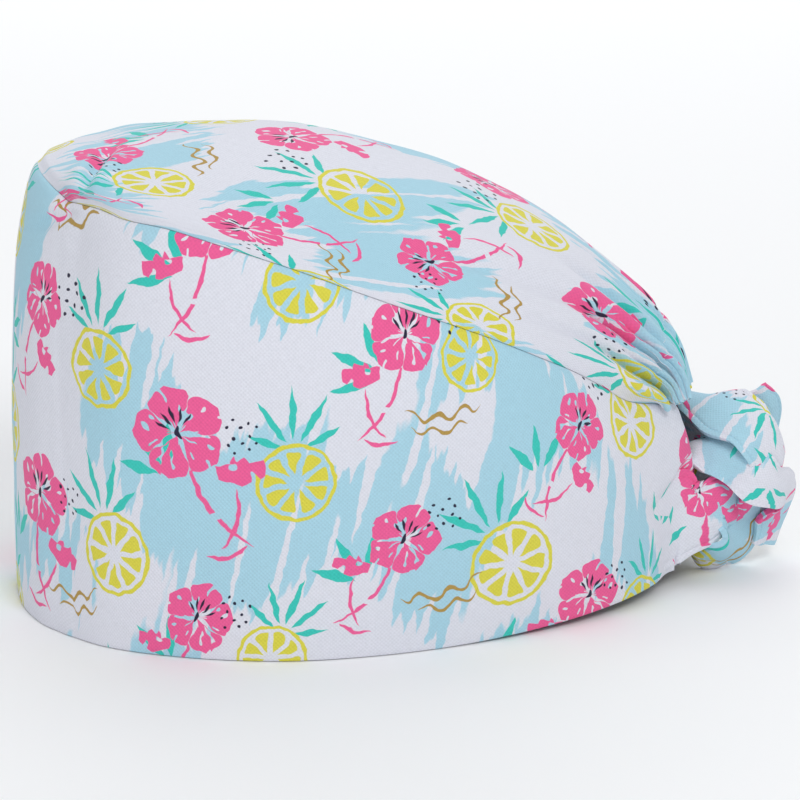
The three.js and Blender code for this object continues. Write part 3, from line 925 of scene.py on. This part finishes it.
class Pen:
    """Writes the nodes of a shader or of a node group."""

    def __init__(self, tree: Tree) -> None:
        """Takes the tree that it writes in."""
        self.tree = tree

    def feed(self, socket: Socket, value: Feed) -> None:
        """Links a socket to another one, or sets its own value."""
        if isinstance(value, bpy.types.NodeSocket):
            self.tree.links.new(value, socket)
        else:
            socket.default_value = value

    def node(self, kind: str, **options: object) -> bpy.types.Node:
        """Adds a node of a kind with some of its options set."""
        node = self.tree.nodes.new(kind)
        for name, value in options.items():
            setattr(node, name, value)
        return node

    def math(self, operation: str, *values: Feed, clamp: bool = False) -> Socket:
        """Returns the result of an operation on numbers."""
        node = self.node("ShaderNodeMath", operation=operation, use_clamp=clamp)
        for socket, value in zip(node.inputs, values):
            self.feed(socket, value)
        return node.outputs[0]

    def add(self, a: Feed, b: Feed) -> Socket:
        """Returns a + b."""
        return self.math("ADD", a, b)

    def sub(self, a: Feed, b: Feed, clamp: bool = False) -> Socket:
        """Returns a - b."""
        return self.math("SUBTRACT", a, b, clamp=clamp)

    def mul(self, a: Feed, b: Feed, clamp: bool = False) -> Socket:
        """Returns a times b."""
        return self.math("MULTIPLY", a, b, clamp=clamp)

    def div(self, a: Feed, b: Feed, clamp: bool = False) -> Socket:
        """Returns a over b."""
        return self.math("DIVIDE", a, b, clamp=clamp)

    def mul_add(self, a: Feed, b: Feed, c: Feed) -> Socket:
        """Returns a times b, and c."""
        return self.math("MULTIPLY_ADD", a, b, c)

    def vector(self, operation: str, *values: Feed, out: str = "Vector") -> Socket:
        """Returns the result of an operation on vectors."""
        node = self.node("ShaderNodeVectorMath", operation=operation)
        for socket, value in zip(node.inputs, values):
            self.feed(socket, value)
        return node.outputs[out]

    def scaled(self, vector: Feed, factor: Feed) -> Socket:
        """Returns a vector times a number."""
        node = self.node("ShaderNodeVectorMath", operation="SCALE")
        self.feed(node.inputs[0], vector)
        self.feed(node.inputs["Scale"], factor)
        return node.outputs["Vector"]

    def split(self, vector: Socket) -> tuple[Socket, Socket]:
        """Returns a vector's first two parts."""
        node = self.node("ShaderNodeSeparateXYZ")
        self.feed(node.inputs[0], vector)
        return node.outputs[0], node.outputs[1]

    def join(self, x: Feed, y: Feed) -> Socket:
        """Returns a flat vector of two parts."""
        node = self.node("ShaderNodeCombineXYZ")
        self.feed(node.inputs[0], x)
        self.feed(node.inputs[1], y)
        return node.outputs[0]

    def turned(self, vector: Socket, angle: Feed) -> Socket:
        """Returns a vector turned in its own plane, by radians."""
        node = self.node("ShaderNodeVectorRotate", rotation_type="Z_AXIS")
        self.feed(node.inputs["Vector"], vector)
        self.feed(node.inputs["Angle"], angle)
        return node.outputs[0]

    def noise(self, vector: Socket, detail: float = 1.0) -> Socket:
        """Returns flat noise from 0 to 1, one blot to a unit."""
        node = self.node("ShaderNodeTexNoise", noise_dimensions="2D")
        self.feed(node.inputs["Vector"], vector)
        node.inputs["Scale"].default_value = 1.0
        node.inputs["Detail"].default_value = detail
        return node.outputs[0]

    def mix(self, factor: Feed, under: Feed, over: Feed) -> Socket:
        """Returns one colour laid over another."""
        node = self.node("ShaderNodeMix", data_type="RGBA")
        self.feed(node.inputs[0], factor)
        self.feed(node.inputs[6], under)
        self.feed(node.inputs[7], over)
        return node.outputs[2]

    def group(self, tree: Tree, **values: Feed) -> bpy.types.Node:
        """Places a node group and feeds its named inputs."""
        node = self.node("ShaderNodeGroup", node_tree=tree)
        for name, value in values.items():
            self.feed(node.inputs[name], value)
        return node

    def mask(self, tree: Tree, **values: Feed) -> Socket:
        """Places a motif's node group and returns its mask."""
        return self.group(tree, **values).outputs["Mask"]

    def shader(
        self, colour: Socket, height: Socket, depth: float, strength: float, levels: dict[str, float]
    ) -> None:
        """Writes the shader of a threaded surface, with its bump and the material's output.

        Args:
            colour: the colour.
            height: the threads' height.
            depth: what a height of 1 stands for, in millimetres.
            strength: the bump's strength.
            levels: values for the shader's own sockets, by name.
        """
        relief = self.node("ShaderNodeBump")
        self.feed(relief.inputs["Height"], height)
        relief.inputs["Distance"].default_value = depth * MM
        relief.inputs["Strength"].default_value = strength
        surface = self.node("ShaderNodeBsdfPrincipled")
        self.feed(surface.inputs["Base Color"], colour)
        self.feed(surface.inputs["Normal"], relief.outputs[0])
        for name, level in levels.items():
            surface.inputs[name].default_value = level
        self.feed(self.node("ShaderNodeOutputMaterial").inputs[0], surface.outputs[0])

    def ink_edge(self, depth: Socket, soft: float = 0.18) -> Socket:
        """Returns a mask that is 1 where depth, in millimetres inside a shape, is over its soft edge."""
        return self.math("DIVIDE", depth, soft, clamp=True)


def fresh_material(name: str) -> tuple[Material, Pen]:
    """Returns a material with no nodes yet, and the pen that writes them."""
    made = bpy.data.materials.new(name)
    made.use_nodes = True
    made.node_tree.nodes.clear()
    return made, Pen(made.node_tree)


class GroupDraft:
    """A node group being written: its pen, its inputs and its outputs."""

    def __init__(self, name: str, inputs: dict[str, Feed], outputs: dict[str, str]) -> None:
        """Makes the group and its named sockets.

        Args:
            name: the group's name.
            inputs: each input with its default value, a number or a vector.
            outputs: each output with its kind: Float, Vector or Color.
        """
        self.tree = bpy.data.node_groups.new(name, "ShaderNodeTree")
        for label, value in inputs.items():
            kind = "NodeSocketFloat" if isinstance(value, (int, float)) else "NodeSocketVector"
            socket = self.tree.interface.new_socket(label, in_out="INPUT", socket_type=kind)
            socket.default_value = value
        for label, kind in outputs.items():
            self.tree.interface.new_socket(label, in_out="OUTPUT", socket_type=f"NodeSocket{kind}")
        self.pen = Pen(self.tree)
        self.given = self.tree.nodes.new("NodeGroupInput").outputs
        self.result = self.tree.nodes.new("NodeGroupOutput").inputs

    def put(self, label: str, value: Socket) -> None:
        """Feeds one of the group's outputs."""
        self.pen.feed(self.result[label], value)


@dataclass(frozen=True)
class PrintDesign:
    """A seaside print: brushed washes, sprays of blossom, cut citrus, leaf sprigs, dots and waves.

    The motifs stand on staggered lattices of one pitch, each turned and shifted a little by its place.
    """

    pitch: Pair = (60.0, 58.0)
    shift: float = 3.5
    wobble: float = 0.9

    def lattice(self) -> Tree:
        """Returns the group that gives each motif its own middle and turn."""
        wide, tall = self.pitch
        draft = GroupDraft(
            "print_lattice",
            {"Vector": (0, 0, 0), "Offset": (0, 0, 0), "Turn": 0.0, "Sway": 0.4, "Seed": 0.0},
            {"Vector": "Vector", "Chance": "Float"},
        )
        pen, given = draft.pen, draft.given
        x, y = pen.split(pen.vector("SUBTRACT", given["Vector"], given["Offset"]))
        column = pen.math("FLOOR", pen.div(x, wide))
        drop = pen.mul(pen.math("PINGPONG", column, 1.0), tall / 2)
        lowered = pen.add(y, drop)
        row = pen.math("FLOOR", pen.div(lowered, tall))
        local = pen.join(
            pen.sub(x, pen.mul_add(column, wide, wide / 2)),
            pen.sub(lowered, pen.mul_add(row, tall, tall / 2)),
        )
        cell = pen.vector("ADD", pen.join(column, row), pen.join(given["Seed"], given["Seed"]))
        hashed = pen.node("ShaderNodeTexWhiteNoise", noise_dimensions="2D")
        pen.feed(hashed.inputs["Vector"], cell)
        centred = pen.vector("SUBTRACT", hashed.outputs["Color"], (0.5, 0.5, 0.5))
        moved = pen.vector("MULTIPLY_ADD", centred, (2 * self.shift, 2 * self.shift, 0), local)
        sway = pen.mul(pen.sub(hashed.outputs["Value"], 0.5), given["Sway"])
        turned = pen.turned(moved, pen.add(sway, given["Turn"]))
        tossed = pen.math("FRACT", pen.mul(hashed.outputs["Value"], 7.0))
        mirror = pen.math("SIGN", pen.sub(tossed, 0.4))
        grown = pen.mul_add(hashed.outputs["Value"], 0.3, 0.86)
        upright = pen.join(pen.mul(mirror, grown), grown)
        draft.put("Vector", pen.vector("MULTIPLY", turned, upright))
        draft.put("Chance", hashed.outputs["Value"])
        return draft.tree

    def fronds(self) -> Tree:
        """Returns the group for petals, leaves and stamens that spring from one point."""
        draft = GroupDraft(
            "print_fronds",
            {
                "Vector": (0, 0, 0),
                "Count": 5.0,
                "Inner": 1.0,
                "Outer": 14.0,
                "Width": 6.0,
                "Skew": 1.4,
                "Spread": 4.0,
                "Taper": 0.0,
            },
            {"Mask": "Float"},
        )
        pen, given = draft.pen, draft.given
        x, y = pen.split(given["Vector"])
        radius = pen.vector("LENGTH", given["Vector"], out="Value")
        angle = pen.math("ARCTAN2", y, x)
        sector = pen.div(2 * math.pi, given["Count"])
        off = pen.math("WRAP", angle, pen.mul(sector, 0.5), pen.mul(sector, -0.5))
        lead = pen.sub(angle, off)
        along = pen.mul(radius, pen.math("COSINE", off))
        aside = pen.mul(radius, pen.math("SINE", off))
        droop = pen.mul(given["Taper"], pen.sub(1.0, pen.math("COSINE", lead)))
        reach = pen.mul(given["Outer"], pen.sub(1.0, droop))
        past, span = (pen.sub(length, given["Inner"]) for length in (along, reach))
        share = pen.div(past, span, clamp=True)
        swell = pen.math("SINE", pen.mul(pen.math("POWER", share, given["Skew"]), math.pi))
        half = pen.mul(given["Width"], swell)
        depth = pen.sub(half, pen.math("ABSOLUTE", aside))
        kept = pen.math("LESS_THAN", pen.math("ABSOLUTE", lead), given["Spread"])
        draft.put("Mask", pen.mul(pen.ink_edge(depth), kept))
        return draft.tree

    def citrus(self) -> Tree:
        """Returns the group for a slice of citrus: wedges inside a rind."""
        draft = GroupDraft(
            "print_citrus",
            {"Vector": (0, 0, 0), "Radius": 12.0, "Wedges": 9.0, "Gap": 0.75},
            {"Mask": "Float"},
        )
        pen, given = draft.pen, draft.given
        x, y = pen.split(given["Vector"])
        radius = pen.vector("LENGTH", given["Vector"], out="Value")
        sector = pen.div(2 * math.pi, given["Wedges"])
        half = pen.mul(sector, 0.5)
        off = pen.math("WRAP", pen.math("ARCTAN2", y, x), half, pen.mul(half, -1.0))
        along = pen.mul(radius, pen.math("COSINE", off))
        aside = pen.math("ABSOLUTE", pen.mul(radius, pen.math("SINE", off)))
        sides = pen.sub(pen.mul(along, pen.math("TANGENT", half)), given["Gap"])
        flesh = pen.sub(sides, aside)
        outer = pen.sub(pen.mul(given["Radius"], 0.8), radius)
        wedge = pen.math("SMOOTH_MIN", flesh, outer, 1.6)
        ring = pen.math("ABSOLUTE", pen.sub(radius, pen.mul(given["Radius"], 0.94)))
        rind = pen.sub(0.65, ring)
        draft.put("Mask", pen.ink_edge(pen.math("MAXIMUM", wedge, rind)))
        return draft.tree

    def stroke(self) -> Tree:
        """Returns the group for one brush stroke along X, bent or waved and thin at its ends."""
        draft = GroupDraft(
            "print_stroke",
            {"Vector": (0, 0, 0), "Reach": 20.0, "Width": 0.6, "Bend": 3.0, "Wave": 0.0, "Waves": 3.0},
            {"Mask": "Float"},
        )
        pen, given = draft.pen, draft.given
        x, y = pen.split(given["Vector"])
        share = pen.div(x, given["Reach"])
        square = pen.mul(share, share)
        swing = pen.math("SINE", pen.mul(pen.mul(share, given["Waves"]), math.pi))
        line = pen.mul_add(given["Bend"], square, pen.mul(given["Wave"], swing))
        thin = pen.math("SQRT", pen.sub(1.0, square, clamp=True))
        half = pen.mul(given["Width"], thin)
        depth = pen.sub(half, pen.math("ABSOLUTE", pen.sub(y, line)))
        draft.put("Mask", pen.ink_edge(depth))
        return draft.tree

    def dots(self) -> Tree:
        """Returns the group for a scatter of dots."""
        draft = GroupDraft(
            "print_dots",
            {"Vector": (0, 0, 0), "Gap": 3.3, "Radius": 0.62, "Span": (8.5, 5.5, 1.0)},
            {"Mask": "Float"},
        )
        pen, given = draft.pen, draft.given
        grid = pen.scaled(given["Vector"], pen.div(1.0, given["Gap"]))
        cell = pen.vector("FLOOR", grid)
        hashed = pen.node("ShaderNodeTexWhiteNoise", noise_dimensions="2D")
        pen.feed(hashed.inputs["Vector"], cell)
        spread = pen.vector("MULTIPLY_ADD", hashed.outputs["Color"], (0.4, 0.4, 0.0), (0.3, 0.3, 0.0))
        local = pen.scaled(pen.vector("SUBTRACT", pen.vector("SUBTRACT", grid, cell), spread), given["Gap"])
        flat = pen.vector("MULTIPLY", local, (1.0, 1.0, 0.0))
        depth = pen.sub(given["Radius"], pen.vector("LENGTH", flat, out="Value"))
        middle = pen.scaled(pen.vector("ADD", cell, (0.5, 0.5, 0.0)), given["Gap"])
        held = pen.vector("LENGTH", pen.vector("DIVIDE", middle, given["Span"]), out="Value")
        draft.put("Mask", pen.mul(pen.ink_edge(depth), pen.math("LESS_THAN", held, 1.0)))
        return draft.tree

    def washes(self) -> Tree:
        """Returns the group for the large patches of wash with their brushed ends and streaks."""
        draft = GroupDraft(
            "print_washes",
            {
                "Vector": (0, 0, 0),
                "Blot": 46.0,
                "Bristle": 3.4,
                "Stroke": 44.0,
                "Ragged": 30.0,
                "Slant": 0.22,
            },
            {"Mask": "Float"},
        )
        pen, given = draft.pen, draft.given
        slanted = pen.turned(given["Vector"], given["Slant"])
        x, y = pen.split(slanted)
        bristles = pen.join(pen.div(x, given["Bristle"]), pen.div(y, given["Stroke"]))
        hair = pen.noise(bristles, 1.0)
        pushed = pen.mul_add(pen.sub(hair, 0.5), given["Ragged"], y)
        wide = pen.mul(x, 1.25)  # blots a little taller than wide
        blot = pen.noise(pen.scaled(pen.join(wide, pushed), pen.div(1.0, given["Blot"])), 0.5)
        filled = pen.mul(pen.sub(blot, 0.485), 60.0, clamp=True)
        gaps = pen.noise(pen.vector("ADD", pen.scaled(bristles, 0.8), (31.0, 17.0, 0.0)), 0.0)
        streak = pen.mul(pen.sub(gaps, 0.67), 40.0, clamp=True)
        draft.put("Mask", pen.sub(filled, streak, clamp=True))
        return draft.tree

    def build(self) -> Tree:
        """Returns the whole print as one group, from millimetres on the cloth to a colour."""
        draft = GroupDraft("print_design", {"Vector": (0, 0, 0)}, {"Color": "Color"})
        pen, given = draft.pen, draft.given
        lattice, fronds, citrus = self.lattice(), self.fronds(), self.citrus()
        stroke, dots, washes = self.stroke(), self.dots(), self.washes()
        shaky = pen.node("ShaderNodeTexNoise", noise_dimensions="2D")
        pen.feed(shaky.inputs["Vector"], pen.scaled(given["Vector"], 1 / 4.5))
        shaky.inputs["Scale"].default_value = 1.0
        shaky.inputs["Detail"].default_value = 1.5
        shake = pen.vector("SUBTRACT", shaky.outputs["Color"], (0.5, 0.5, 0.5))
        cloth = pen.vector("MULTIPLY_ADD", shake, (2 * self.wobble, 2 * self.wobble, 0.0), given["Vector"])

        def spot(x: float, y: float, turn: float, sway: float, seed: float) -> bpy.types.Node:
            """Returns one motif's own lattice."""
            return pen.group(lattice, Vector=cloth, Offset=(x, y, 0.0), Turn=turn, Sway=sway, Seed=seed)

        def at(vector: Socket, x: float, y: float, degrees: float) -> Socket:
            """Returns a motif's coordinates about a point of it, turned so that X runs along the stroke."""
            return pen.turned(pen.vector("SUBTRACT", vector, (x, y, 0.0)), math.radians(-degrees))

        def union(*masks: Socket) -> Socket:
            """Returns the mask of several shapes together."""
            whole = masks[0]
            for mask in masks[1:]:
                whole = pen.math("MAXIMUM", whole, mask)
            return whole

        spray = spot(0.0, 0.0, 0.1, 1.3, 3.0).outputs["Vector"]
        bloom = at(spray, 0.0, 12.0, 100.0)
        bud = at(spray, -8.5, -7.5, 110.0)
        pink = union(
            pen.mask(fronds, Vector=bloom, Count=5.0, Inner=0.0, Outer=12.6, Width=5.7, Skew=1.75),
            pen.mask(fronds, Vector=bud, Count=8.0, Inner=-2.0, Outer=9.5, Width=2.9, Spread=1.0, Taper=0.3),
            pen.mask(stroke, Vector=at(spray, 2.0, -9.0, 82.0), Reach=15.0, Width=0.75, Bend=4.0),
            pen.mask(stroke, Vector=at(spray, -3.0, -15.0, 130.0), Reach=8.5, Width=0.65, Bend=-2.2),
            pen.mask(stroke, Vector=at(spray, 3.4, -22.5, 12.0), Reach=5.5, Width=0.75, Bend=1.6),
        )

        x, y = pen.split(bloom)
        away = pen.vector("LENGTH", bloom, out="Value")
        radial = pen.join(pen.mul(pen.math("ARCTAN2", y, x), 4.4), pen.div(away, 3.6))
        nicks = pen.mul(pen.sub(pen.noise(radial, 0.0), 0.69), 30.0, clamp=True)

        stamens = {"Count": 15.0, "Inner": 1.6, "Outer": 7.4, "Width": 0.5, "Skew": 1.3}
        line = union(
            pen.mask(fronds, Vector=bloom, Spread=0.95, Taper=0.3, **stamens),
            pen.mask(stroke, Vector=bloom, Reach=1.7, Width=0.8, Bend=0.5),
            pen.mask(dots, Vector=spot(17.0, 14.0, 0.3, 1.4, 11.0).outputs["Vector"]),
        )

        fruit = spot(30.0, 6.0, 0.0, 1.1, 7.0).outputs["Vector"]
        sprig = spot(44.0, 31.0, 0.0, 2.2, 19.0).outputs["Vector"]
        crest = {"Count": 11.0, "Inner": 3.6, "Outer": 20.5, "Width": 1.15, "Skew": 0.85}
        fan = {"Count": 9.0, "Inner": 2.5, "Outer": 16.0, "Width": 1.5, "Skew": 0.9}
        round_slice = pen.mask(citrus, Vector=at(fruit, 0.0, -7.0, 12.0), Radius=11.8, Wedges=9.0)
        leaves = union(
            pen.mask(fronds, Vector=at(fruit, 0.0, 2.0, 90.0), Spread=1.45, Taper=0.45, **crest),
            pen.mask(fronds, Vector=at(sprig, 0.0, -9.0, 84.0), Spread=1.1, Taper=0.3, **fan),
        )

        wave = spot(14.0, 44.0, 0.0, 0.8, 29.0)
        swell = wave.outputs["Vector"]
        ebb = at(swell, 1.5, -4.2, 0.0)
        waves = union(
            pen.mask(stroke, Vector=swell, Reach=12.0, Width=0.75, Bend=2.4, Wave=1.3, Waves=2.9),
            pen.mask(stroke, Vector=ebb, Reach=9.0, Width=0.65, Bend=1.8, Wave=1.1, Waves=2.2),
        )
        gilt = pen.mul(waves, pen.math("LESS_THAN", wave.outputs["Chance"], 0.55))

        colour = Ink.GROUND.linear()
        for mask, ink in (
            (pen.mask(washes, Vector=cloth), Ink.WASH),
            (leaves, Ink.LEAF),
            (round_slice, Ink.FRUIT),
            (gilt, Ink.GOLD),
            (pen.sub(pink, nicks, clamp=True), Ink.PETAL),
            (line, Ink.LINE),
        ):
            colour = pen.mix(mask, colour, ink.linear())
        draft.put("Color", colour)
        return draft.tree


def weave_group() -> Tree:
    """Returns the group for plain-woven cotton: the threads' height, and a painted shade that darkens the
    colour where the threads lie low.
    """
    inputs = {"Vector": (0, 0, 0), "Pitch": 0.62, "Slub": 0.6}
    draft = GroupDraft("cotton_weave", inputs, {"Height": "Float", "Shade": "Float"})
    pen, given = draft.pen, draft.given
    grid = pen.scaled(given["Vector"], pen.div(2 * math.pi, given["Pitch"]))
    x, y = pen.split(grid)
    over, under = (pen.math("SINE", pen.mul(part, 0.5)) for part in (x, y))
    check = pen.mul(over, under)
    warp = pen.noise(pen.vector("MULTIPLY", given["Vector"], (2.2, 0.35, 1.0)), 0.0)
    weft = pen.noise(pen.vector("MULTIPLY", given["Vector"], (0.35, 2.2, 1.0)), 0.0)
    slub = pen.mul(pen.sub(pen.add(warp, weft), 1.0), given["Slub"])
    height = pen.mul_add(check, 0.5, slub)
    draft.put("Height", height)
    # painted shade: a factor for the colour that is lowest where the threads lie low, in step with the bump
    draft.put("Shade", pen.mul_add(height, 0.09, 0.955))
    return draft.tree


@dataclass(frozen=True)
class CottonFinish:
    """Printed cotton, right side or wrong side."""

    name: str
    origin: Pair = (0.0, 0.0)  # where the print starts on the piece, in millimetres
    turn: float = 0.0  # of the print on the cloth, in degrees
    fade: float = 0.0  # how much paler the print is, from 0 to 1
    roughness: float = 0.88
    sheen: float = 0.12
    specular: float = 0.25
    thread_height: float = 0.1  # millimetres
    relief: float = 0.6  # strength of the weave's bump

    def material(self, design: Tree, weave: Tree) -> Material:
        """Writes the finish.

        Args:
            design: the print's node group.
            weave: the weave's node group.

        Returns:
            The material.
        """
        made, pen = fresh_material(self.name)
        cloth = pen.scaled(pen.node("ShaderNodeUVMap", uv_map="fabric").outputs[0], UV_UNIT)
        mapped = pen.node("ShaderNodeMapping")
        pen.feed(mapped.inputs["Vector"], cloth)
        mapped.inputs["Location"].default_value = (*self.origin, 0.0)
        mapped.inputs["Rotation"].default_value = (0.0, 0.0, math.radians(self.turn))
        colour = pen.group(design, Vector=mapped.outputs[0]).outputs["Color"]
        if self.fade:
            colour = pen.mix(self.fade, colour, Ink.GROUND.linear())
        threads = pen.group(weave, Vector=cloth)
        levels = {
            "Roughness": self.roughness,
            "Sheen Weight": self.sheen,
            "Specular IOR Level": self.specular,
        }
        # the print darkened by the weave's painted shade where the threads lie low
        shaded = pen.scaled(colour, threads.outputs["Shade"])
        pen.shader(shaded, threads.outputs["Height"], self.thread_height, self.relief, levels)
        return made


@dataclass(frozen=True)
class ThreadFinish:
    """White sewing thread."""

    name: str = "sewing_thread"
    colour: Colour = (0.8, 0.81, 0.86, 1.0)
    twist: float = 0.35  # millimetres from ply to ply
    ply_height: float = 0.05
    roughness: float = 0.7

    def material(self) -> Material:
        """Returns the finish, with the plies' twist as bump and as painted shade, darker where the bump is
        low.
        """
        made, pen = fresh_material(self.name)
        place = pen.scaled(pen.node("ShaderNodeTexCoord").outputs["Object"], 1 / MM)
        fibre = pen.noise(pen.scaled(place, 1 / self.twist), 1.0)
        # painted shade: the thread's colour is darker where the plies' bump is low
        shaded = pen.scaled(self.colour[:3], pen.mul_add(fibre, 0.2, 0.88))
        pen.shader(shaded, fibre, self.ply_height, 1.0, {"Roughness": self.roughness})
        return made


@dataclass(frozen=True)
class Softbox:
    """A square soft light."""

    name: str
    place: Triple  # in metres
    size: float  # length of a side, in metres
    power: float  # watts
    aim: Triple  # the point that it looks at

    def hang(self) -> None:
        """Hangs the light."""
        data = bpy.data.lights.new(self.name, "AREA")
        data.size = self.size
        data.energy = self.power
        light = linked(self.name, data)
        light.location = self.place
        light.rotation_mode = "QUATERNION"
        light.rotation_quaternion = (Vector(self.place) - Vector(self.aim)).to_track_quat("Z", "Y")


@dataclass
class Studio:
    """A pale floor, soft light and the camera at the photograph's angle."""

    azimuth: float = 84.0
    elevation: float = 17.0
    distance: float = 1.3
    lens: float = 193.7
    sensor: float = 36.0
    clip_end: float = 30.0
    floor_size: float = 6.0
    floor_paint: Colour = (0.97, 0.97, 0.97, 1.0)
    floor_roughness: float = 0.95
    air: Colour = (0.93, 0.96, 1.0, 1.0)
    air_strength: float = 0.44
    lights: tuple[Softbox, ...] = (
        Softbox("key", (1.35, 0.35, 1.4), 0.7, 12.8, CAP_MIDDLE),
        Softbox("fill", (1.3, -1.2, 0.7), 1.2, 3.9, CAP_MIDDLE),
        Softbox("top", (-0.5, 0.3, 1.8), 1.4, 6.6, CAP_MIDDLE),
        Softbox("backdrop", (-3.0, 0.2, 1.5), 3.0, 56.0, (-3.0, 0.2, 0.0)),
    )

    def build(self) -> None:
        """Sets the studio up."""
        self._floor()
        self._camera()
        world = bpy.context.scene.world or bpy.data.worlds.new("studio")
        bpy.context.scene.world = world
        world.use_nodes = True
        background = world.node_tree.nodes["Background"]
        background.inputs["Color"].default_value = self.air
        background.inputs["Strength"].default_value = self.air_strength
        bpy.context.scene.view_settings.view_transform = "Standard"
        for light in self.lights:
            light.hang()

    def _floor(self) -> None:
        """Lays the floor."""
        bm = bmesh.new()
        bmesh.ops.create_grid(bm, x_segments=2, y_segments=2, size=self.floor_size)
        paint = bpy.data.materials.new("pale_floor")
        paint.use_nodes = True
        shader = paint.node_tree.nodes["Principled BSDF"]
        shader.inputs["Base Color"].default_value = self.floor_paint
        shader.inputs["Roughness"].default_value = self.floor_roughness
        finished("floor", bm, paint)

    def _camera(self) -> None:
        """Sets the camera up."""
        data = bpy.data.cameras.new("camera")
        data.lens = self.lens
        data.sensor_width = self.sensor
        data.clip_end = self.clip_end
        camera = linked("camera", data)
        a, e = math.radians(self.azimuth), math.radians(self.elevation)
        back = Vector((math.sin(a) * math.cos(e), -math.cos(a) * math.cos(e), math.sin(e)))
        camera.location = Vector(CAP_MIDDLE) + back * self.distance
        camera.rotation_mode = "QUATERNION"
        camera.rotation_quaternion = (-back).to_track_quat("-Z", "Y")
        bpy.context.scene.camera = camera


def main() -> None:
    """Builds the cap piece by piece, and the studio round it."""
    logging.basicConfig(level=logging.INFO)
    shape = CapShape()
    design, weave = PrintDesign().build(), weave_group()
    band_outside = CottonFinish("band_print").material(design, weave)
    crown_outside = CottonFinish("crown_print", origin=(18.0, 7.0), turn=8.0).material(design, weave)
    tie_outside = CottonFinish("tie_print", origin=(40.0, 22.0)).material(design, weave)
    inside = CottonFinish("wrong_side", fade=0.72).material(design, weave)
    Studio().build()

    band, crown, left = BandPanel(shape), CrownPanel(shape), TieStrap(shape)
    right = TieStrap(
        shape,
        name="tie_right_cloth",
        node="tie_right",
        rows=380,
        flat=(0.031, 0.248),
        area=0.0046,
        side=Side.RIGHT,
        route=RIGHT_ROUTE,
        root=(0.05, 0.53),
    )
    for strap in (left, right):
        strap.prepare()
    left.cut_origin = band.cut(left.root_rows[0][0] / shape.band_end, 0.35)
    band_piece = band.build(band_outside, inside)
    crown_piece = crown.build(crown_outside, inside)
    thread = ThreadFinish().material()
    casing = StitchRow("crown_casing_stitches", crown, [crown.casing_line()]).build(thread)
    band.declare(band_piece, [], [])
    crown.declare(crown_piece, [band_piece.name], [casing])
    log.info("%s and %s built", band_piece.name, crown_piece.name)
    for strap, outside in ((left, band_outside), (right, tie_outside)):
        piece = strap.build(outside, outside)
        hems = StitchRow(f"{strap.node}_stitches", strap, strap.hem_lines()).build(thread)
        strap.declare(piece, [band_piece.name], [hems])
        log.info("%s built", piece.name)


if __name__ == "__main__":
    main()
